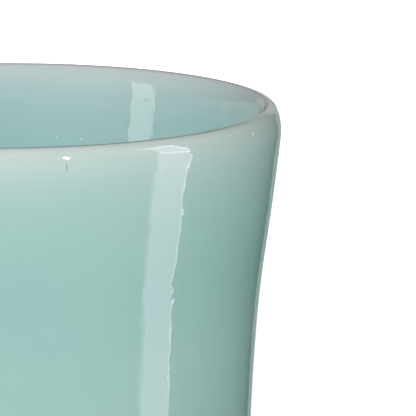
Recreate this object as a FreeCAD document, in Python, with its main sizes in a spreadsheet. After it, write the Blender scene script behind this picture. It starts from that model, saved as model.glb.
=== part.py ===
"""A waisted porcelain brush pot with a celadon glaze, as a parametric FreeCAD document.

The pot is one thrown, turned and fired porcelain body that carries three coats of glaze, each put on in its own
step: the outside coat, the inside coat, which meets it on the crest of the rim, and the coat in the recess under
the base. Every solid is a half section turned once round the Z axis. The pot stands on its bare foot ring at
z = 0, centred on the axis. Millimetres, +Z up.

Both sides of the wall, bare or glazed, have the same kind of outline: a long waist arc, a flare arc, a shoulder
arc that straightens the flare, a lip side arc and a small nose arc that ends on the crest. Each of them hands
over to the next without a corner. A coat lies between two such outlines, and the body between the other two.
The inside flares more than the outside, so the wall is 8 mm thick at the waist and under 6 mm below the lip.
"""
import FreeCAD, Part
import math
import os
from types import SimpleNamespace

import Sketcher
from FreeCAD import Vector

OUT = "parts"
SHEET = "Dimensions"

# The driving dimensions in millimetres: alias, value, meaning.
DIMENSIONS = [
    ("overall_height", 136.0, "crest of the rim above the table"),
    ("crest_radius", 60.0, "radius of the circle along the crest of the rim"),
    ("wall_glaze", 0.6, "each coat on the wall"),
    ("rim_glaze", 0.25, "each coat on the crest, where it ran thin in the kiln"),
    ("waist_radius", 55.7, "outside radius at the narrowest height"),
    ("waist_height", 45.5, "height of the narrowest place"),
    ("waist_curve", 496.0, "radius of the waist arc, outside"),
    ("flare_start", 89.0, "height where the waist arc ends and the flare arc begins"),
    ("flare_curve", 227.0, "radius of the flare arc, outside"),
    ("flare_end", 103.5, "height where the flare arc ends and the shoulder arc begins"),
    ("shoulder_curve", 665.0, "radius of the shoulder arc, outside"),
    ("well_waist_radius", 47.5, "radius of the glazed inside at the waist height"),
    ("well_waist_curve", 400.0, "radius of the waist arc, inside"),
    ("well_flare_curve", 250.0, "radius of the flare arc, inside, which begins at the same height"),
    ("well_flare_end", 118.0, "height where it ends"),
    ("well_shoulder_curve", 155.0, "radius of the shoulder arc, inside"),
    ("lip_side", 12.0, "radius of both sides of the lip"),
    ("lip_nose_outside", 2.1, "radius of the nose arc outside the crest"),
    ("lip_nose_inside", 1.9, "radius of the nose arc inside the crest"),
    ("foot_radius", 55.5, "outer radius of the bare foot face"),
    ("foot_width", 9.0, "width of the foot ring"),
    ("foot_round", 0.8, "rounding of the ring's inner edge"),
    ("foot_bevel", 2.6, "height of the turned bevel outside the foot face"),
    ("recess_height", 3.6, "bare underside of the base above the table"),
    ("recess_fillet", 2.0, "radius between the bare underside and the recess wall"),
    ("base_glaze", 0.5, "coat in the recess"),
    ("base_glaze_end", 1.4, "height where that coat ends above the foot face"),
    ("floor_thickness", 6.0, "bare body between the recess and the well"),
    ("floor_glaze", 0.9, "coat pooled on the floor of the well"),
    ("well_fillet", 7.0, "radius between the floor and the wall of the well, bare"),
    ("pooled_fillet", 9.0, "the same on the glaze, which gathered in the corner"),
    ("outer_glaze_end", 3.5, "height where the outside coat ends above the foot"),
]


class Length:
    """A length in millimetres, and the expression that drives it from the sheet."""

    def __init__(self, value, expression):
        self.value = value
        self.expression = expression

    def __add__(self, other):
        return Length(self.value + other.value, f"({self.expression} + {other.expression})")

    def __sub__(self, other):
        return Length(self.value - other.value, f"({self.expression} - {other.expression})")


NONE = Length(0.0, "0")


def make_sheet(doc):
    """Writes the driving dimensions to the document's sheet, and returns them as lengths by name."""
    sheet = doc.addObject("Spreadsheet::Sheet", SHEET)
    for row, (name, number, meaning) in enumerate(DIMENSIONS, start=1):
        sheet.set(f"A{row}", name)
        sheet.set(f"B{row}", str(number))
        sheet.set(f"C{row}", meaning)
        sheet.setAlias(f"B{row}", name)
    doc.recompute()
    return SimpleNamespace(**{name: Length(sheet.get(name), f"{SHEET}.{name}") for name, _, _ in DIMENSIONS})


doc = FreeCAD.newDocument("brush_pot")
dim = make_sheet(doc)


# ---------------------------------------------------------------- plane geometry: x is the radius, y the height


def towards(here, there, distance):
    """The point that far from here, on the way to there."""
    return here + (there - here).normalize() * distance


def near_side(centre, radius, height):
    """The point of a circle at that height, on the side nearer to the axis."""
    return Vector(centre.x - math.sqrt(radius**2 - (height - centre.y) ** 2), height)


def lower_crossing(centre_a, radius_a, centre_b, radius_b):
    """The lower of the two points where two circles cross."""
    gap = (centre_b - centre_a).Length
    along = (gap**2 + radius_a**2 - radius_b**2) / (2 * gap)
    middle = towards(centre_a, centre_b, along)
    across = (centre_b - centre_a).cross(Vector(0, 0, 1)).normalize() * math.sqrt(radius_a**2 - along**2)
    return min(middle + across, middle - across, key=lambda point: point.y)


# ---------------------------------------------------------------- half sections


class Stretch:
    """One line or arc of a half section. first and last are its ends in the order it was drawn."""

    def __init__(self, index, first, last):
        self.first = (index, first)
        self.last = (index, last)
        self.centre = (index, 3)


class HalfSection:
    """A body with a closed outline on its XZ plane, turned once round the Z axis."""

    def __init__(self, name):
        self.body = doc.addObject("PartDesign::Body", name)
        self.body.Label = name
        self.sketch = self.body.newObject("Sketcher::SketchObject", f"{name}_section")
        plane = next(f for f in self.body.Origin.OriginFeatures if f.Role == "XZ_Plane")
        self.sketch.AttachmentSupport = [(plane, "")]
        self.sketch.MapMode = "FlatFace"

    def line(self, start, end):
        return Stretch(self.sketch.addGeometry(Part.LineSegment(start, end), False), 1, 2)

    def arc(self, centre, start, end, turn, radius):
        """An arc from start to end, with turn "left" or "right" seen along the way."""
        ends = (start, end) if turn == "left" else (end, start)
        angles = [math.atan2(point.y - centre.y, point.x - centre.x) for point in ends]
        circle = Part.Circle(centre, Vector(0, 0, 1), radius.value)
        index = self.sketch.addGeometry(Part.ArcOfCircle(circle, *angles), False)
        self.measure("Radius", radius, index)
        return Stretch(index, 1, 2) if turn == "left" else Stretch(index, 2, 1)

    def tie(self, kind, *where):
        self.sketch.addConstraint(Sketcher.Constraint(kind, *where))

    def corner(self, one, other):
        self.tie("Coincident", *one, *other)

    def smooth(self, one, other):
        self.tie("Tangent", *one, *other)

    def measure(self, kind, length, *where):
        """A dimension of the sketch that follows the sheet."""
        number = self.sketch.addConstraint(Sketcher.Constraint(kind, *where, length.value))
        self.sketch.setExpression(f"Constraints[{number}]", length.expression)

    def hold_radius(self, point, length):
        self.measure("DistanceX", length, -1, 1, *point)

    def hold_height(self, point, length):
        self.measure("DistanceY", length, -1, 1, *point)

    def bridge(self, one, other):
        """A straight line between two ends that are already held."""
        ends = [self.sketch.getPoint(*point) for point in (one, other)]
        line = self.line(*ends)
        self.corner(one, line.first)
        self.corner(line.last, other)

    def turn(self):
        revolution = self.body.newObject("PartDesign::Revolution", f"{self.body.Name}_turned")
        revolution.Profile = self.sketch
        revolution.ReferenceAxis = (self.sketch, ["V_Axis"])
        revolution.Angle = 360.0
        self.sketch.Visibility = False


def wall_face(section, inside, bare, lowest):
    """One face of the wall from its lower end up to the crest: the outside or the inside, bare or glazed.

    lowest gives the lower end from the centre and the radius of the waist arc, as (centre, radius).
    Returns the lowest and the highest stretch. The caller holds the lower end and the crest end."""
    coat = dim.wall_glaze if bare else NONE
    rim_coat = dim.rim_glaze if bare else NONE
    side = dim.lip_side
    if inside:
        waist_x = dim.well_waist_radius + dim.well_waist_curve
        waist = dim.well_waist_curve - coat
        flare = dim.well_flare_curve - coat
        shoulder = dim.well_shoulder_curve + coat
        flare_top = dim.well_flare_end
        nose = dim.lip_nose_inside - rim_coat
    else:
        waist_x = dim.waist_radius + dim.waist_curve
        waist = dim.waist_curve + coat
        flare = dim.flare_curve + coat
        shoulder = dim.shoulder_curve - coat
        flare_top = dim.flare_end
        nose = dim.lip_nose_outside - rim_coat

    waist_centre = Vector(waist_x.value, dim.waist_height.value)
    nose_centre = Vector(dim.crest_radius.value, (dim.overall_height - rim_coat - nose).value)
    flare_start = near_side(waist_centre, waist.value, dim.flare_start.value)
    flare_centre = towards(flare_start, waist_centre, flare.value)
    flare_end = near_side(flare_centre, flare.value, flare_top.value)
    shoulder_centre = towards(flare_end, flare_centre, -shoulder.value)
    shoulder_to_side = (shoulder + side if inside else shoulder - side).value
    side_centre = lower_crossing(shoulder_centre, shoulder_to_side, nose_centre, (side - nose).value)
    side_start = towards(shoulder_centre, side_centre, shoulder.value)
    side_end = towards(side_centre, nose_centre, side.value)
    crest = nose_centre + Vector(0, nose.value)

    lip_turn = "right" if inside else "left"
    arcs = [
        section.arc(waist_centre, lowest(waist_centre, waist), flare_start, "right", waist),
        section.arc(flare_centre, flare_start, flare_end, "right", flare),
        section.arc(shoulder_centre, flare_end, side_start, "left", shoulder),
        section.arc(side_centre, side_start, side_end, lip_turn, side),
        section.arc(nose_centre, side_end, crest, lip_turn, nose),
    ]
    for lower, upper in zip(arcs, arcs[1:]):
        section.smooth(lower.last, upper.first)
    section.hold_radius(arcs[0].centre, waist_x)
    section.hold_height(arcs[0].centre, dim.waist_height)
    section.hold_height(arcs[0].last, dim.flare_start)
    section.hold_height(arcs[1].last, flare_top)
    section.hold_radius(arcs[4].centre, dim.crest_radius)
    return arcs[0], arcs[4]


def outer_face(section, bare, height):
    """The outside of the pot from that height to the crest. Returns its lowest and its highest stretch."""

    def lowest(centre, radius):
        return near_side(centre, radius.value, height.value)

    return wall_face(section, False, bare, lowest)


def well_face(section, bare):
    """The inside of the pot, from the axis over the floor and up to the crest.

    Returns the floor and the highest stretch. The caller holds the crest end."""
    floor_height = dim.recess_height + dim.floor_thickness + (NONE if bare else dim.floor_glaze)
    fillet = dim.well_fillet if bare else dim.pooled_fillet

    def fillet_centre(centre, radius):
        return near_side(centre, (radius + fillet).value, (floor_height + fillet).value)

    def lowest(centre, radius):
        return towards(centre, fillet_centre(centre, radius), radius.value)

    wall, nose = wall_face(section, True, bare, lowest)
    waist = section.sketch.Geometry[wall.centre[0]]
    middle = fillet_centre(waist.Center, Length(waist.Radius, ""))
    floor_end = middle - Vector(0, fillet.value)
    corner = section.arc(middle, floor_end, section.sketch.getPoint(*wall.first), "left", fillet)
    floor = section.line(Vector(0, floor_height.value), floor_end)
    section.smooth(floor.last, corner.first)
    section.smooth(corner.last, wall.first)
    section.tie("Horizontal", floor.first[0])
    section.tie("PointOnObject", *floor.first, -2)
    section.hold_height(floor.first, floor_height)
    return floor, nose


def recess_face(section, coat, wall_end):
    """The underside of the base from the axis outwards, and the wall of the recess down to wall_end.

    coat is the glaze that covers the bare body there. Returns the underside and the recess wall."""
    height = dim.recess_height - coat
    fillet = dim.recess_fillet - coat
    radius = dim.foot_radius - dim.foot_width - coat
    centre = Vector((radius - fillet).value, (height - fillet).value)
    base_end = centre + Vector(0, fillet.value)
    wall_start = centre + Vector(fillet.value, 0)
    base = section.line(Vector(0, height.value), base_end)
    corner = section.arc(centre, base_end, wall_start, "right", fillet)
    wall = section.line(wall_start, Vector(radius.value, wall_end.value))
    section.smooth(base.last, corner.first)
    section.smooth(corner.last, wall.first)
    section.tie("Horizontal", base.first[0])
    section.tie("PointOnObject", *base.first, -2)
    section.hold_height(base.first, height)
    section.tie("Vertical", wall.first[0])
    section.hold_radius(wall.last, radius)
    section.hold_height(wall.last, wall_end)
    return base, wall


# ---------------------------------------------------------------- the sub-parts


def porcelain_body():
    """Wall, floor and foot ring, fired in one piece."""
    section = HalfSection("porcelain_body")
    base, recess_wall = recess_face(section, NONE, dim.foot_round)
    outer_wall, outer_nose = outer_face(section, True, dim.foot_bevel)
    floor, inner_nose = well_face(section, True)

    ring_inner = section.sketch.getPoint(*recess_wall.last)
    foot_start = ring_inner + Vector(dim.foot_round.value, -dim.foot_round.value)
    foot_end = Vector(dim.foot_radius.value, 0)
    edge = section.arc(ring_inner + Vector(dim.foot_round.value, 0), ring_inner, foot_start, "left", dim.foot_round)
    foot = section.line(foot_start, foot_end)
    section.smooth(recess_wall.last, edge.first)
    section.smooth(edge.last, foot.first)
    section.tie("Horizontal", foot.first[0])
    section.hold_radius(foot.last, dim.foot_radius)
    section.hold_height(outer_wall.first, dim.foot_bevel)
    section.bridge(foot.last, outer_wall.first)

    section.hold_radius(outer_nose.last, dim.crest_radius)
    section.hold_height(outer_nose.last, dim.overall_height - dim.rim_glaze)
    section.corner(outer_nose.last, inner_nose.last)
    section.bridge(floor.first, base.first)
    section.turn()


def close_at_crest(section, glazed_nose, bare_nose):
    """Ends a coat of the wall on the crest, where the outside and the inside coat meet."""
    for nose, crest in ((glazed_nose, dim.overall_height), (bare_nose, dim.overall_height - dim.rim_glaze)):
        section.hold_radius(nose.last, dim.crest_radius)
        section.hold_height(nose.last, crest)
    section.bridge(glazed_nose.last, bare_nose.last)


def outer_glaze():
    """The outside coat, from a rolled edge above the foot to the crest."""
    section = HalfSection("outer_glaze")
    end = dim.outer_glaze_end
    bare_wall, bare_nose = outer_face(section, True, end)
    glazed_wall, glazed_nose = outer_face(section, False, end + dim.wall_glaze)
    lowest = section.sketch.getPoint(*bare_wall.first)
    rolled_to = section.sketch.getPoint(*glazed_wall.first)
    middle = rolled_to - Vector(dim.wall_glaze.value, 0)
    edge = section.arc(middle, lowest, rolled_to, "left", dim.wall_glaze)
    section.corner(bare_wall.first, edge.first)
    section.smooth(edge.last, glazed_wall.first)
    section.hold_height(bare_wall.first, end)
    close_at_crest(section, glazed_nose, bare_nose)
    section.turn()


def inner_glaze():
    """The inside coat, from the crest down the wall and over the floor of the well."""
    section = HalfSection("inner_glaze")
    bare_floor, bare_nose = well_face(section, True)
    glazed_floor, glazed_nose = well_face(section, False)
    section.bridge(bare_floor.first, glazed_floor.first)
    close_at_crest(section, glazed_nose, bare_nose)
    section.turn()


def base_glaze():
    """The coat in the recess, which stops short of the foot face."""
    section = HalfSection("base_glaze")
    bare_base, bare_wall = recess_face(section, NONE, dim.base_glaze_end)
    glazed_base, glazed_wall = recess_face(section, dim.base_glaze, dim.base_glaze_end)
    section.bridge(bare_wall.last, glazed_wall.last)
    section.bridge(bare_base.first, glazed_base.first)
    section.turn()


# ---------------------------------------------------------------- the document


def check(thing):
    """Stops the build at an object that failed, or a sketch that its dimensions don't hold in full."""
    failed = {"Invalid", "Error"} & set(thing.State)
    if failed:
        raise RuntimeError(f"{thing.Name}: {failed}")
    if thing.TypeId == "Sketcher::SketchObject" and not thing.FullyConstrained:
        raise RuntimeError(f"{thing.Name}: not fully constrained")
    if thing.TypeId == "PartDesign::Body" and (thing.Shape.isNull() or not thing.Shape.isValid()):
        raise RuntimeError(f"{thing.Name}: no valid shape")


for make in (porcelain_body, outer_glaze, inner_glaze, base_glaze):
    make()
doc.recompute()
for thing in doc.Objects:
    check(thing)

os.makedirs(OUT, exist_ok=True)
for thing in doc.Objects:
    if thing.TypeId == "PartDesign::Body":
        thing.Shape.exportStep(os.path.join(OUT, f"{thing.Label}.step"))
        print(f"{thing.Label}: {thing.Shape.Volume / 1000:.2f} cm3")
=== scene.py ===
"""A waisted celadon brush pot on a pale studio floor.

The frame's four solids are drawn again as fine lathed meshes: the bare porcelain and three coats of glaze.
Every outline follows the same arcs as the CAD part. Lengths are in millimetres and become metres in lathe().
"""
import cmath
import math

import bpy
import numpy as np
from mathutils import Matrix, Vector

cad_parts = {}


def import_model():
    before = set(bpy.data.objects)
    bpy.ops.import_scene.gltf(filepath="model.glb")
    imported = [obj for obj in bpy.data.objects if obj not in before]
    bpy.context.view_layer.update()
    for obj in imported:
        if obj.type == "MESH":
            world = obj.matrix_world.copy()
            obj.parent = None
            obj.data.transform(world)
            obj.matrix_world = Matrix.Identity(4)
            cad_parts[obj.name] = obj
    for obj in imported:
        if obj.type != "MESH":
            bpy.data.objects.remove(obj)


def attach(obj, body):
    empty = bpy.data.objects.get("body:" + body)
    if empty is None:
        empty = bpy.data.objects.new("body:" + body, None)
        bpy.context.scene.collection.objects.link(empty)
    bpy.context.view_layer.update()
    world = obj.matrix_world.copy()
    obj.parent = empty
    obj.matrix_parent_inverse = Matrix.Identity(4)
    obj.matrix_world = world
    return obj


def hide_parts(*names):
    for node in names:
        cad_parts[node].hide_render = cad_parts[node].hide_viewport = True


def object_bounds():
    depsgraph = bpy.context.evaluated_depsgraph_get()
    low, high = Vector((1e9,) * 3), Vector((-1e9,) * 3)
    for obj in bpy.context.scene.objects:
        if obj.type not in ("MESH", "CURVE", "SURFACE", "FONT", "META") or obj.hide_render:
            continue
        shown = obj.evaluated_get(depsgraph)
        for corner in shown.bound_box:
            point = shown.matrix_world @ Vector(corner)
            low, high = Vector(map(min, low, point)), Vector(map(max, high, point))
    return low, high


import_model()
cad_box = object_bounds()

MM = 0.001

# ---------------------------------------------------------------- driving dimensions, in millimetres

HEIGHT = cad_box[1].z / MM
CREST_RADIUS = 60.0
WALL_GLAZE = 0.6
RIM_GLAZE = 0.25
WAIST_RADIUS = 55.7
WAIST_HEIGHT = 45.5
WAIST_CURVE = 496.0
FLARE_START = 89.0
FLARE_CURVE = 227.0
FLARE_END = 103.5
SHOULDER_CURVE = 665.0
WELL_WAIST_RADIUS = 47.5
WELL_WAIST_CURVE = 400.0
WELL_FLARE_CURVE = 250.0
WELL_FLARE_END = 118.0
WELL_SHOULDER_CURVE = 155.0
LIP_SIDE = 12.0
LIP_NOSE_OUTSIDE = 2.1
LIP_NOSE_INSIDE = 1.9
FOOT_RADIUS = 55.5
FOOT_WIDTH = 9.0
FOOT_ROUND = 0.8
FOOT_BEVEL = 2.6
RECESS_HEIGHT = 3.6
RECESS_FILLET = 2.0
BASE_GLAZE = 0.5
BASE_GLAZE_END = 1.4
FLOOR = 6.0
FLOOR_GLAZE = 0.9
WELL_FILLET = 7.0
POOLED_FILLET = 9.0
OUTER_GLAZE_END = 3.5

WAVE_DEPTH = 0.04  # of the slow waves in a glazed face
WAVE_FADE_LIP = 12.0  # they fade out over this much of the wall below the crest
WAVE_FADE_END = 8.0  # and over this much above the other end
FOOT_LINE_FADE = 9.0  # how far up the wall the wandering glaze line moves the coat
FOOT_LINE_LIFT = 0.1
FOOT_LINE = ((0.35, 3, 0.7), (0.22, 7, 2.0), (0.12, 17, 0.0))  # waves: height, number round the pot, phase
BASE_LINE_FADE = 1.2
BASE_LINE_LIFT = 0.15
BASE_LINE = ((0.15, 5, 0.0), (0.08, 11, 1.0))
SPIRAL_RADIUS = 40.0  # of the throwing marks on the floor of the well
SPIRAL_PITCH = 6.5
SPIRAL_DEPTH = 0.1
DISH_DEPTH = 0.14  # how far the middle of that floor sinks

# the optical depth of the glaze, where 1 is a full coat on the outside
OUTSIDE_COAT = (1.0, 0.78, 11.5)  # full depth, the share missing on the crest, how slowly it fills in below
INSIDE_COAT = (0.96, 0.82, 8.0)
BASE_COAT = 0.72
WALL_THINNING = (0.13, 32.0, 18.0)  # outside: by how much, from how far below the crest, over what distance
FOOT_POOL = (0.3, 1.5, 2.2)  # outside: how much thicker, how far above the coat's edge, over what distance
CORNER_POOL = (0.45, 6.0, 42.0)  # inside: how much thicker, how near the floor, from what radius
CLOUDING = 0.035  # how much the depth varies from place to place

# the look of the lip: the body shows greyer through thin glaze, partly as painted shade, and a line of
# painted shade lies on the crest
OUTSIDE_LIP_GREY_AND_SHADE = (0.06, 5.0)  # how much greyer the body looks at the crest, partly as painted shade, and how far from it
INSIDE_LIP_GREY_AND_SHADE = (0.19, 3.0)
PAINTED_CREST_SHADE_HALF_WIDTH = 0.85  # half the width of the line of painted shade on the crest, where the coats meet
PAINTED_CREST_SHADE_ANGLES = (30, 52, 66, 112, 140)  # from the front, to either side; the painted shade line is darkest towards the front and fades out at the sides
PAINTED_CREST_SHADE_DARKNESS = (0.55, 0.50, 0.0, 0.0, 0.30)

SEGMENTS = 360  # round the pot
FINE = 1.1  # spacing of the rings on a face that shows
COARSE = 9.0  # and on one that another piece covers
LIP_SPACING = 0.6  # on the side of the lip
NOSE_SPACING = 0.2  # and on its nose
EDGE_SPACING = 0.15  # on the rounded lower edge of the outside coat
BEVEL_SPACING = 0.4  # on the bevel of the foot, and just over it
FLAT_SPACING = 0.5  # on the flat of the foot ring
BASE_SPACING = 2.0  # on the glaze of the recess
HIDDEN_FROM = 5.0  # the height from which the outside coat hides the body
TURN_STEP = math.radians(4.5)  # the most that one step of an arc turns

# ------------------------------------------------------------ outlines: complex numbers, radius + height * 1j


def towards(here, there, distance):
    """The point that far from here, on the way to there."""
    return here + (there - here) / abs(there - here) * distance


def near_side(centre, radius, height):
    """The point of a circle at that height, on the side nearer to the axis."""
    return complex(centre.real - math.sqrt(radius**2 - (height - centre.imag) ** 2), height)


def lower_crossing(centre_a, radius_a, centre_b, radius_b):
    """The lower of the two points where two circles cross."""
    gap = abs(centre_b - centre_a)
    along = (gap**2 + radius_a**2 - radius_b**2) / (2 * gap)
    across = math.sqrt(radius_a**2 - along**2)
    ways = [centre_a + (centre_b - centre_a) / gap * complex(along, side) for side in (across, -across)]
    return min(ways, key=lambda point: point.imag)


def straight(start, end, spacing):
    steps = max(1, math.ceil(abs(end - start) / spacing))
    return list(np.linspace(start, end, steps + 1))


def arc(centre, start, end, spacing):
    """Points on a circle from start to end, the short way round."""
    turn = cmath.phase((end - centre) / (start - centre))
    steps = math.ceil(max(abs(turn) * abs(start - centre) / spacing, abs(turn) / TURN_STEP, 1))
    return [centre + (start - centre) * cmath.exp(1j * turn * k / steps) for k in range(steps + 1)]


def joined(*runs):
    """One outline from runs that share their end points."""
    outline = list(runs[0])
    for run in runs[1:]:
        outline += run[1:]
    return outline


def wall_line(inside, bare, lowest, spacing):
    """A face of the wall, from the point that lowest gives on the waist arc up to the crest."""
    coat = WALL_GLAZE if bare else 0.0
    rim_coat = RIM_GLAZE if bare else 0.0
    if inside:
        waist_centre = complex(WELL_WAIST_RADIUS + WELL_WAIST_CURVE, WAIST_HEIGHT)
        waist, flare, shoulder = WELL_WAIST_CURVE - coat, WELL_FLARE_CURVE - coat, WELL_SHOULDER_CURVE + coat
        flare_top = WELL_FLARE_END
        nose = LIP_NOSE_INSIDE - rim_coat
    else:
        waist_centre = complex(WAIST_RADIUS + WAIST_CURVE, WAIST_HEIGHT)
        waist, flare, shoulder = WAIST_CURVE + coat, FLARE_CURVE + coat, SHOULDER_CURVE - coat
        flare_top = FLARE_END
        nose = LIP_NOSE_OUTSIDE - rim_coat
    nose_centre = complex(CREST_RADIUS, HEIGHT - rim_coat - nose)
    flare_start = near_side(waist_centre, waist, FLARE_START)
    flare_centre = towards(flare_start, waist_centre, flare)
    flare_end = near_side(flare_centre, flare, flare_top)
    shoulder_centre = towards(flare_end, flare_centre, -shoulder)
    reach = shoulder + LIP_SIDE if inside else shoulder - LIP_SIDE
    side_centre = lower_crossing(shoulder_centre, reach, nose_centre, LIP_SIDE - nose)
    side_start = towards(shoulder_centre, side_centre, shoulder)
    side_end = towards(side_centre, nose_centre, LIP_SIDE)
    return joined(
        arc(waist_centre, lowest(waist_centre, waist), flare_start, spacing),
        arc(flare_centre, flare_start, flare_end, spacing),
        arc(shoulder_centre, flare_end, side_start, spacing),
        arc(side_centre, side_start, side_end, min(spacing, LIP_SPACING)),
        arc(nose_centre, side_end, nose_centre + nose * 1j, min(spacing, NOSE_SPACING)),
    )


def outer_line(bare, height, spacing):
    return wall_line(False, bare, lambda centre, radius: near_side(centre, radius, height), spacing)


def well_line(bare, spacing):
    """The inside of the pot, from the axis over the floor and up to the crest."""
    floor = RECESS_HEIGHT + FLOOR + (0.0 if bare else FLOOR_GLAZE)
    fillet = WELL_FILLET if bare else POOLED_FILLET
    waist_centre = complex(WELL_WAIST_RADIUS + WELL_WAIST_CURVE, WAIST_HEIGHT)
    waist = WELL_WAIST_CURVE - (WALL_GLAZE if bare else 0.0)
    middle = near_side(waist_centre, waist + fillet, floor + fillet)
    corner = towards(waist_centre, middle, waist)
    floor_end = middle - fillet * 1j
    return joined(
        straight(floor * 1j, floor_end, 2 * spacing),
        arc(middle, floor_end, corner, spacing),
        wall_line(True, bare, lambda centre, radius: corner, spacing),
    )


def recess_line(coat, wall_end, spacing):
    """The underside of the base and the wall of the recess, down to wall_end."""
    radius = FOOT_RADIUS - FOOT_WIDTH - coat
    height = RECESS_HEIGHT - coat
    fillet = RECESS_FILLET - coat
    middle = complex(radius - fillet, height - fillet)
    return joined(
        straight(height * 1j, middle + fillet * 1j, 2 * spacing),
        arc(middle, middle + fillet * 1j, middle + fillet, spacing / 4),
        straight(middle + fillet, complex(radius, wall_end), spacing / 3),
    )


# ---------------------------------------------------------------- meshes


def ripple(points, wavelength, seed):
    """A smooth random height from about -1 to 1 at each point: plane waves of about that length added up."""
    rng = np.random.default_rng(seed)
    ways = rng.normal(size=(14, 3))
    ways /= np.linalg.norm(ways, axis=1)[:, None]
    ways *= 2 * math.pi / wavelength * rng.uniform(0.75, 1.35, size=(14, 1))
    phases = rng.uniform(0, 2 * math.pi, size=14)
    return np.sin(points @ ways.T + phases).sum(axis=1) / 3.8


def slow_waves(points, long, short, seed):
    """Heights from about 0 to 1: long waves with some shorter ones on them."""
    return 0.5 + 0.5 * (0.7 * ripple(points, long, seed) + 0.3 * ripple(points, short, seed + 1))


def rising(value, start, reach):
    """0 up to start, then rising to 1 over reach."""
    return np.clip((value - start) / reach, 0, 1)


def wandering(angle, waves):
    """How far a line round the pot strays at each angle, from its waves."""
    return sum(height * np.sin(number * angle + phase) for height, number, phase in waves)


def angle_of(points):
    """The angle round the pot, in radians from the front."""
    return np.arctan2(points[:, 0], -points[:, 1])


def lip_grey_and_painted_shade(outline, index, points, grey):
    """How bright the body is painted: greyer on the lip, partly as painted shade, and dark in a line of
    painted shade on the crest that comes and goes round the pot.
    """
    away = np.abs(outline - complex(CREST_RADIUS, HEIGHT))[index]
    turn = np.degrees(np.abs(angle_of(points)))
    # painted shade: a dark line along the crest, darkest towards the front, none at the sides
    line = np.interp(turn, PAINTED_CREST_SHADE_ANGLES, PAINTED_CREST_SHADE_DARKNESS) * np.clip(1 - away / PAINTED_CREST_SHADE_HALF_WIDTH, 0, 1)
    # greyer towards the crest: partly the body through thin glaze, partly painted shade
    amount, reach = grey
    return 1 - amount * np.exp(-((away / reach) ** 2)) - line


def ring_faces(number, on_axis, closed):
    """Faces between the rings of a lathed mesh: quads, or triangles where a ring is one point on the axis.

    number holds the point numbers, one row for each ring, and closed joins the last ring to the first."""
    count = len(number)
    faces = []
    for row in range(count if closed else count - 1):
        here, above = number[row], number[(row + 1) % count]
        if on_axis[row] and on_axis[(row + 1) % count]:
            continue
        quads = np.stack([here, np.roll(here, -1), np.roll(above, -1), above], axis=1)
        if on_axis[row]:
            quads = quads[:, [0, 2, 3]]
        elif on_axis[(row + 1) % count]:
            quads = quads[:, [0, 1, 2]]
        faces += quads.tolist()
    return faces


def give(mesh, name, values):
    """A number for each point of the mesh, which its material reads by name."""
    layer = mesh.attributes.new(name, "FLOAT", "POINT")
    layer.data.foreach_set("value", values.astype(np.float32))


def lathe(name, outline, closed, shape=None, glaze=None, crest=None, lip_grey_and_shade=(0.0, 1.0)):
    """Turns an outline round the axis into a mesh object with SEGMENTS sides.

    shape moves the points, given as an array of x, y, z in millimetres with the outline index of each.
    glaze gives each point the optical depth of the glaze there.
    crest is the index of the outline point on the crest, where two coats meet without a crease."""
    outline = np.array(outline)
    count = len(outline)
    turns = np.arange(SEGMENTS) * 2 * math.pi / SEGMENTS
    radius, height = outline.real[:, None], outline.imag[:, None]
    grid = np.stack(np.broadcast_arrays(radius * np.sin(turns), -radius * np.cos(turns), height), axis=-1)
    points = grid.reshape(-1, 3)
    index = np.repeat(np.arange(count), SEGMENTS)
    if shape is not None:
        points = shape(points, index)

    on_axis = outline.real < 1e-9
    number = np.arange(count * SEGMENTS).reshape(count, SEGMENTS)
    number[on_axis] = number[on_axis][:, :1]
    used = np.unique(number)
    renumber = np.zeros(count * SEGMENTS, dtype=int)
    renumber[used] = np.arange(len(used))
    points, index = points[used], index[used]

    mesh = bpy.data.meshes.new(name)
    mesh.from_pydata((points * MM).tolist(), [], ring_faces(renumber[number], on_axis, closed))
    mesh.polygons.foreach_set("use_smooth", [True] * len(mesh.polygons))
    if glaze is not None:
        give(mesh, "glaze", glaze(points))
        # the lip's grey and painted shade go to the material beside the glaze depth
        give(mesh, "grey_and_painted_shade", lip_grey_and_painted_shade(outline, index, points, lip_grey_and_shade))
    mesh.update()
    if crest is not None:
        normals = np.empty(len(used) * 3, dtype=np.float32)
        mesh.vertex_normals.foreach_get("vector", normals)
        normals = normals.reshape(-1, 3)
        normals[index == crest] = (0.0, 0.0, 1.0)
        mesh.normals_split_custom_set_from_vertices(normals.tolist())
    piece = bpy.data.objects.new(name, mesh)
    bpy.context.scene.collection.objects.link(piece)
    return piece


# ---------------------------------------------------------------- the four pieces


def facing_in(points, amount):
    """Moves wall points towards the axis by amount, an array in millimetres."""
    flat = points * (1, 1, 0)
    reach = np.linalg.norm(flat, axis=1)[:, None]
    return points - flat / np.maximum(reach, 1e-9) * amount[:, None]


def wall_glaze(points, full, missing, reach):
    """The optical depth down a wall: thin on the crest, where the glaze ran off, and fuller below."""
    return full * (1 - missing * np.exp((points[:, 2] - HEIGHT) / reach))


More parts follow.
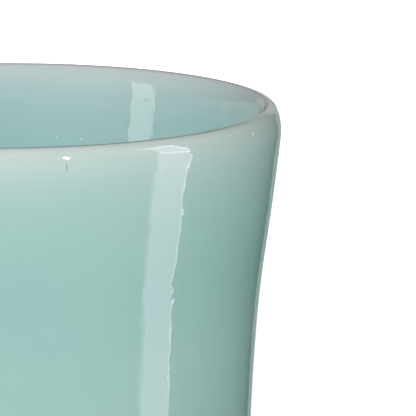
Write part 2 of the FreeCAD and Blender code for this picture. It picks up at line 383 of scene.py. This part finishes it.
def outside_coat():
    face = outer_line(False, OUTER_GLAZE_END + WALL_GLAZE, FINE)
    bare = outer_line(True, OUTER_GLAZE_END, COARSE)
    edge = arc(face[0] - WALL_GLAZE, bare[0], face[0], EDGE_SPACING)
    outline = joined(edge, face, [face[-1]] + bare[::-1])[:-1]
    crest = len(edge) + len(face) - 2

    def shape(points, index):
        """Slow waves in the surface, and a glaze line that wanders a little above the foot."""
        height = points[:, 2]
        fade = rising(HEIGHT - height, 0, WAVE_FADE_LIP) * rising(height, OUTER_GLAZE_END, WAVE_FADE_END)
        on_face = (index <= crest) & (index > 0)
        line = wandering(angle_of(points), FOOT_LINE) + FOOT_LINE_LIFT
        points = facing_in(points, np.where(on_face, WAVE_DEPTH * slow_waves(points, 34, 12, 3) * fade, 0))
        points[:, 2] += line * (1 - rising(height, OUTER_GLAZE_END, FOOT_LINE_FADE))
        return points

    def glaze(points):
        height = points[:, 2]
        thinning, start, reach = WALL_THINNING
        full = wall_glaze(points, *OUTSIDE_COAT) - thinning * rising(HEIGHT - height, start, reach)
        pool, middle, spread = FOOT_POOL
        pooled = pool * np.exp(-(((height - OUTER_GLAZE_END - middle) / spread) ** 2))
        return full * (1 + CLOUDING * ripple(points, 40, 5)) + pooled

    return lathe("glaze_outside", outline, True, shape, glaze, crest, OUTSIDE_LIP_GREY_AND_SHADE)


def inside_coat():
    face = well_line(False, FINE)
    bare = well_line(True, COARSE)
    floor_height = RECESS_HEIGHT + FLOOR + FLOOR_GLAZE

    def shape(points, index):
        """The same slow waves on the wall, and the faint spiral that the potter's hand left on the floor."""
        height = points[:, 2]
        reach = np.hypot(points[:, 0], points[:, 1])
        on_face = index < len(face)
        fade = rising(HEIGHT - height, 0, WAVE_FADE_LIP)
        fade *= rising(height, floor_height + POOLED_FILLET, WAVE_FADE_END)
        waves = WAVE_DEPTH * slow_waves(points, 30, 11, 7) * fade
        middle = np.clip(1 - reach / SPIRAL_RADIUS, 0, 1)
        spiral = SPIRAL_DEPTH * np.sin(reach * 2 * math.pi / SPIRAL_PITCH - angle_of(points)) * middle
        sunk = (spiral + DISH_DEPTH * middle**2) * (reach > 0.1)
        on_floor = on_face & (height < floor_height + 0.01)
        points = facing_in(points, -np.where(on_face, waves, 0))
        points[:, 2] -= np.where(on_floor, sunk, 0)
        return points

    def glaze(points):
        pool, spread, radius = CORNER_POOL
        reach = np.hypot(points[:, 0], points[:, 1])
        outward = np.clip(reach / radius, 0, 1) ** 4
        pooled = pool * np.exp(-(((points[:, 2] - floor_height) / spread) ** 2)) * outward
        return wall_glaze(points, *INSIDE_COAT) * (1 + CLOUDING * ripple(points, 40, 9)) + pooled

    return lathe("glaze_inside", face + bare[::-1], False, shape, glaze, len(face) - 1, INSIDE_LIP_GREY_AND_SHADE)


def base_coat():
    face = recess_line(BASE_GLAZE, BASE_GLAZE_END, BASE_SPACING)
    bare = recess_line(0.0, BASE_GLAZE_END, COARSE)

    def shape(points, index):
        """A glaze line that wanders a little on the wall of the recess."""
        low = 1 - rising(points[:, 2], BASE_GLAZE_END, BASE_LINE_FADE)
        points[:, 2] += low * (BASE_LINE_LIFT + wandering(angle_of(points), BASE_LINE))
        return points

    def glaze(points):
        return BASE_COAT * (1 + 0.1 * ripple(points, 18, 11))

    return lathe("glaze_base", face + bare[::-1], False, shape, glaze)


def porcelain():
    """The bare body. It shows on the foot ring and on the bevel above it."""
    bevel_top = outer_line(True, FOOT_BEVEL, COARSE)[0]
    covered = outer_line(True, HIDDEN_FROM, COARSE)
    well = well_line(True, COARSE)
    recess = recess_line(0.0, FOOT_ROUND, COARSE)
    round_centre = recess[-1] + FOOT_ROUND
    foot_start = round_centre - FOOT_ROUND * 1j
    foot_end = complex(FOOT_RADIUS, 0)
    ring = joined(
        arc(round_centre, recess[-1], foot_start, NOSE_SPACING),
        straight(foot_start, foot_end, FLAT_SPACING),
        straight(foot_end, bevel_top, BEVEL_SPACING),
        arc(complex(WAIST_RADIUS + WAIST_CURVE, WAIST_HEIGHT), bevel_top, covered[0], BEVEL_SPACING),
    )
    return lathe("porcelain", joined(recess, ring, covered, well[::-1]), False)


# ---------------------------------------------------------------- materials


class Nodes:
    """A short way to write a node tree."""

    def __init__(self, tree):
        self.tree = tree
        tree.nodes.clear()

    def add(self, kind, settings=None, **inputs):
        """A node with its settings, and its inputs by name: a socket is linked, a number is set."""
        node = self.tree.nodes.new(kind)
        for key, value in (settings or {}).items():
            setattr(node, key, value)
        for key, value in inputs.items():
            self.feed(node.inputs[key.replace("_", " ")], value)
        return node

    def feed(self, socket, value):
        if isinstance(value, bpy.types.NodeSocket):
            self.tree.links.new(value, socket)
        else:
            socket.default_value = value

    def math(self, operation, *values, clamp=False):
        node = self.add("ShaderNodeMath", {"operation": operation, "use_clamp": clamp})
        for socket, value in zip(node.inputs, values):
            self.feed(socket, value)
        return node.outputs[0]

    def noise(self, scale, detail=2.0, roughness=0.5):
        """Noise over the object, with scale in waves per metre."""
        place = self.add("ShaderNodeTexCoord").outputs["Object"]
        noise = self.add("ShaderNodeTexNoise", Vector=place, Scale=scale, Detail=detail, Roughness=roughness)
        return noise.outputs["Fac"]

    def span(self, value, low, high, to_low=0.0, to_high=1.0, smooth=False):
        kind = "SMOOTHSTEP" if smooth else "LINEAR"
        node = self.add("ShaderNodeMapRange", {"interpolation_type": kind}, Value=value)
        for name, number in zip(("From Min", "From Max", "To Min", "To Max"), (low, high, to_low, to_high)):
            node.inputs[name].default_value = number
        return node.outputs[0]

    def dot(self, vector, other):
        node = self.add("ShaderNodeVectorMath", {"operation": "DOT_PRODUCT"})
        self.feed(node.inputs[0], vector)
        self.feed(node.inputs[1], other)
        return node.outputs["Value"]

    def blend(self, amount, first, second):
        """first where amount is 0, second where it is 1."""
        node = self.add("ShaderNodeMix", {"data_type": "RGBA"})
        factor, one, two = (node.inputs[k] for k in (0, 6, 7))
        for socket, value in ((factor, amount), (one, first), (two, second)):
            self.feed(socket, value)
        return node.outputs[2]

    def bump(self, height, distance, normal=None):
        node = self.add("ShaderNodeBump", Height=height, Distance=distance, Strength=1.0)
        if normal is not None:
            self.feed(node.inputs["Normal"], normal)
        return node.outputs[0]


def new_material(name):
    material = bpy.data.materials.new(name)
    material.use_nodes = True
    return material, Nodes(material.node_tree)


PORCELAIN_WHITE = (0.80, 0.80, 0.775)
INSIDE_WHITE = (0.90, 0.90, 0.905)
ABSORBED = (0.83, 0.33, 0.365)  # by a full coat of celadon, in red, green and blue
BARE_COLOUR = (0.70, 0.655, 0.585, 1)
FLASHED_COLOUR = (0.50, 0.27, 0.13, 1)
SPECK_COLOUR = (0.20, 0.14, 0.09, 1)
WHITE_FLECK = (0.86, 0.90, 0.88, 1)
DARK_LINE = (0.10, 0.16, 0.15, 1)
ORANGE_PEEL = ((230, 7e-6), (450, 22e-6), (800, 13e-6))  # waves per metre and height in metres


class Mark:
    """A small oval fault in the glaze: its place, half its width and height, its colour, how solid it is."""

    def __init__(self, angle, height, half_width, half_height, colour, cover):
        self.angle = math.radians(angle)
        self.height = height
        self.size = (half_width, half_height)
        self.colour = colour
        self.cover = cover

    def mask(self, nodes, place):
        along = (math.cos(self.angle) / (self.size[0] * MM), math.sin(self.angle) / (self.size[0] * MM), 0)
        outward = (math.sin(self.angle), -math.cos(self.angle), 0)
        across = nodes.dot(place, along)
        up = nodes.dot(place, (0, 0, 1 / (self.size[1] * MM)))
        up = nodes.math("SUBTRACT", up, self.height / self.size[1])
        reach = nodes.math("ADD", nodes.math("POWER", across, 2.0), nodes.math("POWER", up, 2.0))
        this_side = nodes.math("GREATER_THAN", nodes.dot(place, outward), 0.0)
        return nodes.math("MULTIPLY", nodes.span(reach, 1.6, 0.3, 0.0, self.cover, smooth=True), this_side)


def celadon(name, white, marks=()):
    """Glossy celadon: white porcelain seen through blue-green glass, as deep as the glaze is there."""
    material, nodes = new_material(name)
    depth = nodes.add("ShaderNodeAttribute", {"attribute_name": "glaze"}).outputs["Fac"]
    cloud = nodes.span(nodes.noise(45, 3), 0.3, 0.7, 0.965, 1.035)
    grain = nodes.span(nodes.noise(900, 2), 0.3, 0.7, 0.985, 1.015)
    depth = nodes.math("MULTIPLY", depth, nodes.math("MULTIPLY", cloud, grain))
    # the lip's grey and painted shade, read from the mesh
    grey_and_painted_shade = nodes.add("ShaderNodeAttribute", {"attribute_name": "grey_and_painted_shade"}).outputs["Fac"]
    channels = []
    for body, absorbed in zip(white, ABSORBED):
        passed = nodes.math("EXPONENT", nodes.math("MULTIPLY", depth, -absorbed))
        channels.append(nodes.math("MULTIPLY", nodes.math("MULTIPLY", passed, body), grey_and_painted_shade))
    red, green, blue = channels
    colour = nodes.add("ShaderNodeCombineColor", Red=red, Green=green, Blue=blue).outputs[0]
    place = nodes.add("ShaderNodeTexCoord").outputs["Object"]
    for mark in marks:
        colour = nodes.blend(mark.mask(nodes, place), colour, mark.colour)

    surface = None
    for scale, height in ORANGE_PEEL:
        surface = nodes.bump(nodes.noise(scale, 0), height, surface)
    rough = nodes.span(nodes.noise(160, 3), 0.3, 0.7, 0.02, 0.04)
    shader = nodes.add("ShaderNodeBsdfPrincipled", Base_Color=colour, Roughness=rough, Normal=surface)
    shader.inputs["IOR"].default_value = 1.5
    output = nodes.add("ShaderNodeOutputMaterial")
    nodes.tree.links.new(shader.outputs[0], output.inputs["Surface"])
    return material


# a hairline just under the lip and a fleck near the right end of it, then two pinholes high on the back wall
OUTSIDE_MARKS = [
    Mark(13.25, 131.95, 0.11, 0.85, DARK_LINE, 0.65),
    Mark(62.9, 133.6, 0.55, 0.32, WHITE_FLECK, 1.0),
]
INSIDE_MARKS = [
    Mark(166.0, 119.7, 0.26, 0.26, WHITE_FLECK, 0.7),
    Mark(160.0, 119.5, 0.30, 0.34, WHITE_FLECK, 0.7),
]


def bare_porcelain():
    """Fired, unglazed porcelain: dry, fine-grained, warmer and browner where it flashed beside the glaze."""
    material, nodes = new_material("bare_porcelain")
    place = nodes.add("ShaderNodeTexCoord").outputs["Object"]
    height = nodes.add("ShaderNodeSeparateXYZ", Vector=place).outputs["Z"]
    flash = nodes.span(height, 0.0004, 0.0038, 0.12, 0.75, smooth=True)
    flash = nodes.math("MULTIPLY", flash, nodes.span(nodes.noise(60, 4, 0.6), 0.3, 0.65), clamp=True)
    colour = nodes.blend(flash, BARE_COLOUR, FLASHED_COLOUR)
    specks = nodes.span(nodes.noise(2600, 2), 0.62, 0.72, 0.0, 0.55)
    colour = nodes.blend(specks, colour, SPECK_COLOUR)
    relief = nodes.bump(nodes.noise(1800, 4, 0.6), 30e-6)
    shader = nodes.add("ShaderNodeBsdfPrincipled", Base_Color=colour, Normal=relief)
    nodes.feed(shader.inputs["Roughness"], nodes.span(nodes.noise(900, 3), 0.3, 0.7, 0.62, 0.85))
    output = nodes.add("ShaderNodeOutputMaterial")
    nodes.tree.links.new(shader.outputs[0], output.inputs["Surface"])
    return material


# ---------------------------------------------------------------- the studio, in metres and degrees

LAMP_TINT = (1.0, 0.89, 1.0)
LEFT_LAMP_TINT = (0.99, 1.0, 0.96)
COOL_TINT = (0.84, 1.0, 0.97)
BACKDROP_TINT = (0.82, 1.0, 0.97)
PALE_TINT = (0.96, 0.97, 0.95)
AIM_HEIGHT = 0.07  # the middle of the pot, which every soft light faces
AMBIENT = 0.06  # light from all round
MIRRORED = 0.03  # what reflections show where there is no lamp
BACKGROUND = 1.2  # what the camera sees
FLOOR_LIFT = 0.55  # how much brighter the camera sees the floor than it is lit
FLOOR_COLOUR = (0.82, 0.82, 0.82, 1)
FLOOR_HALF = 6.0

RIGHT_PLACE = Vector((0.231, -0.101, 0))  # of the softbox on the right and its canopy
RIGHT_FACING = 70.0
RIGHT_CORNERS = (complex(-0.025, 0.191), complex(0.033, 0.171))  # the upper ones of that softbox
CAMERA_PLACE = (0, -1.5, 0.3741)
CAMERA_DOWN = 9.898
CAMERA_RIGHT = 1.776
LENS = 590.7

# name, angle, distance, height, diameter, watts
SOFT_LIGHTS = [
    ("front_light", 0, 1.25, 0.80, 0.7, 8.6),
    ("low_front_light", 0, 1.4, 0.36, 0.6, 1.25),
    ("high_front_light", 0, 1.0, 1.2, 0.6, 1.2),
    ("front_left_light", -45, 1.0, 1.0, 0.6, 3.7),
    ("left_light", -90, 1.25, 0.80, 0.6, 1.55),
    ("front_right_light", 45, 1.3, 0.55, 0.6, 1.5, COOL_TINT),
    ("right_light", 90, 1.3, 0.45, 0.6, 2.4, COOL_TINT),
    ("back_light", 180, 1.4, 0.36, 0.9, 10.8),
    ("overhead_light", 180, 0.15, 1.5, 0.6, 1.2),
]


def around(angle, distance, height):
    """A place round the pot. angle turns from the camera's side, 0, to the right."""
    turn = math.radians(angle)
    return Vector((distance * math.sin(turn), -distance * math.cos(turn), height))


def aim(thing, target):
    thing.rotation_euler = (Vector(target) - thing.location).to_track_quat("-Z", "Y").to_euler()


def emitter(name, radiance, tint):
    material, nodes = new_material(name)
    glow = nodes.add("ShaderNodeEmission", Color=(*tint, 1), Strength=radiance)
    output = nodes.add("ShaderNodeOutputMaterial")
    nodes.tree.links.new(glow.outputs[0], output.inputs["Surface"])
    return material


def rectangle(start, end, low, high):
    return [complex(start, low), complex(end, low), complex(end, high), complex(start, high)]


def panel(name, place, facing, outline, radiance, tint=LAMP_TINT, nearer=0.0):
    """A flat lamp that shows only in reflections.

    outline holds complex numbers, across + up * 1j from its place. nearer moves it towards the pot."""
    mesh = bpy.data.meshes.new(name)
    mesh.from_pydata([(point.real, point.imag, 0) for point in outline], [], [list(range(len(outline)))])
    mesh.materials.append(emitter(name, radiance, tint))
    lamp = bpy.data.objects.new(name, mesh)
    bpy.context.scene.collection.objects.link(lamp)
    turn = math.radians(facing)
    lamp.location = place - nearer * Vector((math.sin(turn), -math.cos(turn), 0))
    lamp.rotation_euler = (math.pi / 2, 0, turn)
    lamp.visible_camera = lamp.visible_diffuse = lamp.visible_shadow = False
    lamp.visible_transmission = lamp.visible_volume_scatter = False


def soft_light(name, angle, distance, height, size, power, tint=(1, 1, 1)):
    """A broad lamp that lights the pot and never shows in it."""
    lamp = bpy.data.lights.new(name, "AREA")
    lamp.shape = "DISK"
    lamp.size = size
    lamp.energy = power
    lamp.color = tint
    thing = bpy.data.objects.new(name, lamp)
    bpy.context.scene.collection.objects.link(thing)
    thing.location = around(angle, distance, height)
    aim(thing, (0, 0, AIM_HEIGHT))
    thing.visible_camera = thing.visible_glossy = False


def bounce(name, angle, distance, size, radiance):
    """Bright paper lying on the floor, which throws light up at the wall of the pot."""
    lamp = bpy.data.lights.new(name, "AREA")
    lamp.shape = "ELLIPSE"
    lamp.size, lamp.size_y = size
    lamp.energy = radiance * math.pi * math.pi / 4 * size[0] * size[1]
    thing = bpy.data.objects.new(name, lamp)
    bpy.context.scene.collection.objects.link(thing)
    thing.location = around(angle, distance, 0.002)
    thing.rotation_euler = (math.pi, 0, math.radians(angle))
    thing.visible_camera = thing.visible_glossy = False


def floor():
    """Pale paper, lifted to white for the camera only. Nothing reflects it."""
    mesh = bpy.data.meshes.new("studio_floor")
    corners = rectangle(-FLOOR_HALF, FLOOR_HALF, -FLOOR_HALF, FLOOR_HALF)
    mesh.from_pydata([(corner.real, corner.imag, 0) for corner in corners], [], [[0, 1, 2, 3]])
    material, nodes = new_material("studio_floor")
    paper = nodes.add("ShaderNodeBsdfDiffuse", Color=FLOOR_COLOUR)
    lift = nodes.add("ShaderNodeEmission", Strength=FLOOR_LIFT)
    both = nodes.add("ShaderNodeAddShader")
    nodes.tree.links.new(paper.outputs[0], both.inputs[0])
    nodes.tree.links.new(lift.outputs[0], both.inputs[1])
    seen = nodes.add("ShaderNodeLightPath").outputs["Is Camera Ray"]
    mixed = nodes.add("ShaderNodeMixShader", Fac=seen)
    nodes.tree.links.new(paper.outputs[0], mixed.inputs[1])
    nodes.tree.links.new(both.outputs[0], mixed.inputs[2])
    output = nodes.add("ShaderNodeOutputMaterial")
    nodes.tree.links.new(mixed.outputs[0], output.inputs["Surface"])
    mesh.materials.append(material)
    plane = bpy.data.objects.new("studio_floor", mesh)
    bpy.context.scene.collection.objects.link(plane)
    plane.location.z = -0.0001
    plane.visible_glossy = False


def world():
    """White to the camera, a dim grey that lights the pot from all round, nearly black in its reflections."""
    surroundings = bpy.data.worlds.new("studio")
    surroundings.use_nodes = True
    nodes = Nodes(surroundings.node_tree)
    path = nodes.add("ShaderNodeLightPath")
    seen = path.outputs["Is Camera Ray"]
    mirrored = path.outputs["Is Glossy Ray"]
    unmirrored = nodes.math("SUBTRACT", 1.0, mirrored)
    lit = nodes.math("MULTIPLY", unmirrored, AMBIENT)
    dark = nodes.math("MULTIPLY", mirrored, MIRRORED)
    shown = nodes.math("MULTIPLY", seen, BACKGROUND)
    strength = nodes.math("MAXIMUM", shown, nodes.math("ADD", lit, dark))
    sky = nodes.add("ShaderNodeBackground", Strength=strength)
    output = nodes.add("ShaderNodeOutputWorld")
    nodes.tree.links.new(sky.outputs[0], output.inputs["Surface"])
    bpy.context.scene.world = surroundings


def frayed(across, low, high, depth, period):
    """Points up an upright edge of cloth, which wanders by about depth in waves of about that period."""
    heights = np.linspace(low, high, round(8 * (high - low) / period))
    turns = 2 * math.pi * heights / period
    wander = np.sin(turns) * np.sin(0.31 * turns + 1) + 0.6 * np.sin(2.3 * turns + 2)
    return list(across + depth * wander + 1j * heights)


def right_softbox():
    """The tall softbox whose reflection runs down the wall, in front of a dimmer spill, with bright edges."""
    left, right, low = -0.028, 0.033, -0.03
    left_top, right_top = RIGHT_CORNERS
    rim, top = 0.0024, 0.007j
    side = [complex(right + 0.003, low)] + frayed(right + 0.001, 0.016, 0.060, 0.0007, 0.0045)
    side += frayed(right, 0.064, right_top.imag - 0.004, 0.0011, 0.024) + [right_top]
    worn = frayed(left - 0.002, 0.030, 0.155, 0.0008, 0.009)[::-1]
    body = [complex(left, low)] + side + [left_top] + worn + [complex(left, 0.018)]
    spill = [complex(left - 0.007, low), complex(left + 0.004, low), left_top]
    spill += [point - 0.006 for point in worn]
    bright_side = side + [point - rim for point in side[::-1]]
    bright_top = [left_top - top, right_top - top, right_top, left_top]
    for part, outline, radiance, nearer in (
        ("right_softbox", body, 2.9, 0.0),
        ("right_softbox_spill", spill, 1.2, -0.003),
        ("right_softbox_rim", bright_side, 7.5, 0.002),
        ("right_softbox_top", bright_top, 8.5, 0.004),
    ):
        panel(part, RIGHT_PLACE, RIGHT_FACING, outline, radiance, nearer=nearer)


def canopy():
    """The curved canopy over the right softbox, with a bright rim and a brighter corner."""
    tip, middle, end = complex(-0.056, 0.242), complex(0.006, 0.234), complex(0.037, 0.173)
    rim, bulge = 0.008, 0.006
    over = [tip + (middle - tip) * k / 8 for k in range(8)]
    over += [middle + (end - middle) * k / 12 + bulge * math.sin(math.pi * k / 12) for k in range(13)]
    left_top = RIGHT_CORNERS[0]
    under = [complex(0.034, 0.171), left_top, left_top + 0.016j, complex(-0.034, 0.224)]
    lower = [point - rim * complex(0.3, min(1.0, 0.25 + k / 8)) for k, point in enumerate(over)]
    corner = [complex(0.030, 0.169), complex(0.037, 0.169), complex(0.037, 0.178), complex(0.030, 0.181)]
    for part, outline, radiance, nearer in (
        ("canopy", over + under, 3.6, -0.002),
        ("canopy_rim", over + lower[::-1], 8.5, 0.003),
        ("canopy_corner", corner, 11.0, 0.006),
    ):
        panel(part, RIGHT_PLACE, RIGHT_FACING, outline, radiance, nearer=nearer)


def small_lamp():
    """A small bare lamp on the right of the camera, seen as a white spot high on the lip."""
    place, facing = around(27.7, 0.97, 0.557), 28.3
    width, height = 0.050, 0.105
    turns = np.linspace(0, 2 * math.pi, 25)[:-1]
    oval = [complex(width / 2 * math.cos(turn), height / 2 * math.sin(turn)) for turn in turns]
    panel("small_lamp", place, facing, oval, 34.0)
    panel("small_lamp_wing", place, facing, rectangle(-0.075, 0.12, -0.010, 0.010), 4.0, nearer=-0.002)


def left_softbox():
    """The softbox on the left, which shows on the inside of the back wall. Its top left corner is cut."""
    half, low, high = 0.054, 0.14, 0.285
    outline = [complex(half, low), complex(half, high)]
    outline += [complex(0.024 - half, high), complex(0.012 - half, 0.26), complex(0.006 - half, 0.215)]
    outline += frayed(-half, 0.160, 0.205, 0.003, 0.008)[::-1] + [complex(-half, low)]
    panel("left_softbox", Vector((-0.434, -0.123, 0)), -74, outline, 3.0, LEFT_LAMP_TINT)


def backdrops():
    """Grey cloth far behind the pot, seen at grazing angles: down its right side, and in the lip over it."""
    facing = 168
    place = around(facing, 0.9, 0)
    panel("grey_backdrop", place, facing, rectangle(-0.2, 0.2, -0.5, 0.12), 0.41, BACKDROP_TINT)
    panel("upper_backdrop", place, facing, rectangle(-0.2, 0.14, 0.12, 0.36), 0.42, PALE_TINT)
    panel("left_backdrop", place, facing, rectangle(0.215, 0.55, 0.12, 0.36), 0.34, PALE_TINT)


def camera():
    """Low, from far away with a long lens, on the upper right of the pot."""
    view = bpy.data.cameras.new("camera")
    view.lens = LENS
    view.sensor_width = 36.0
    view.clip_end = 100.0
    eye = bpy.data.objects.new("camera", view)
    bpy.context.scene.collection.objects.link(eye)
    eye.location = CAMERA_PLACE
    eye.rotation_euler = (math.radians(90 - CAMERA_DOWN), 0, math.radians(-CAMERA_RIGHT))
    bpy.context.scene.camera = eye


# ---------------------------------------------------------------- assembly

OUTSIDE_CELADON = celadon("celadon_outside", PORCELAIN_WHITE, OUTSIDE_MARKS)
INSIDE_CELADON = celadon("celadon_inside", INSIDE_WHITE, INSIDE_MARKS)
BASE_CELADON = celadon("celadon_base", PORCELAIN_WHITE)
BARE_PORCELAIN = bare_porcelain()
PIECES = [
    (outside_coat(), "outer_glaze", "celadon_outside", OUTSIDE_CELADON),
    (inside_coat(), "inner_glaze", "celadon_inside", INSIDE_CELADON),
    (base_coat(), "base_glaze", "celadon_base", BASE_CELADON),
    (porcelain(), "porcelain_body", "bare_porcelain", BARE_PORCELAIN),
]
for piece, node, slot, material in PIECES:
    piece.data.materials.append(material)
    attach(piece, "root")
    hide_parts(node)

floor()
world()
right_softbox()
canopy()
left_softbox()
backdrops()
small_lamp()
for light in SOFT_LIGHTS:
    soft_light(*light)
bounce("front_bounce", 0, 0.25, (0.55, 0.28), 0.28)
camera()
bpy.context.scene.view_settings.view_transform = "Standard"
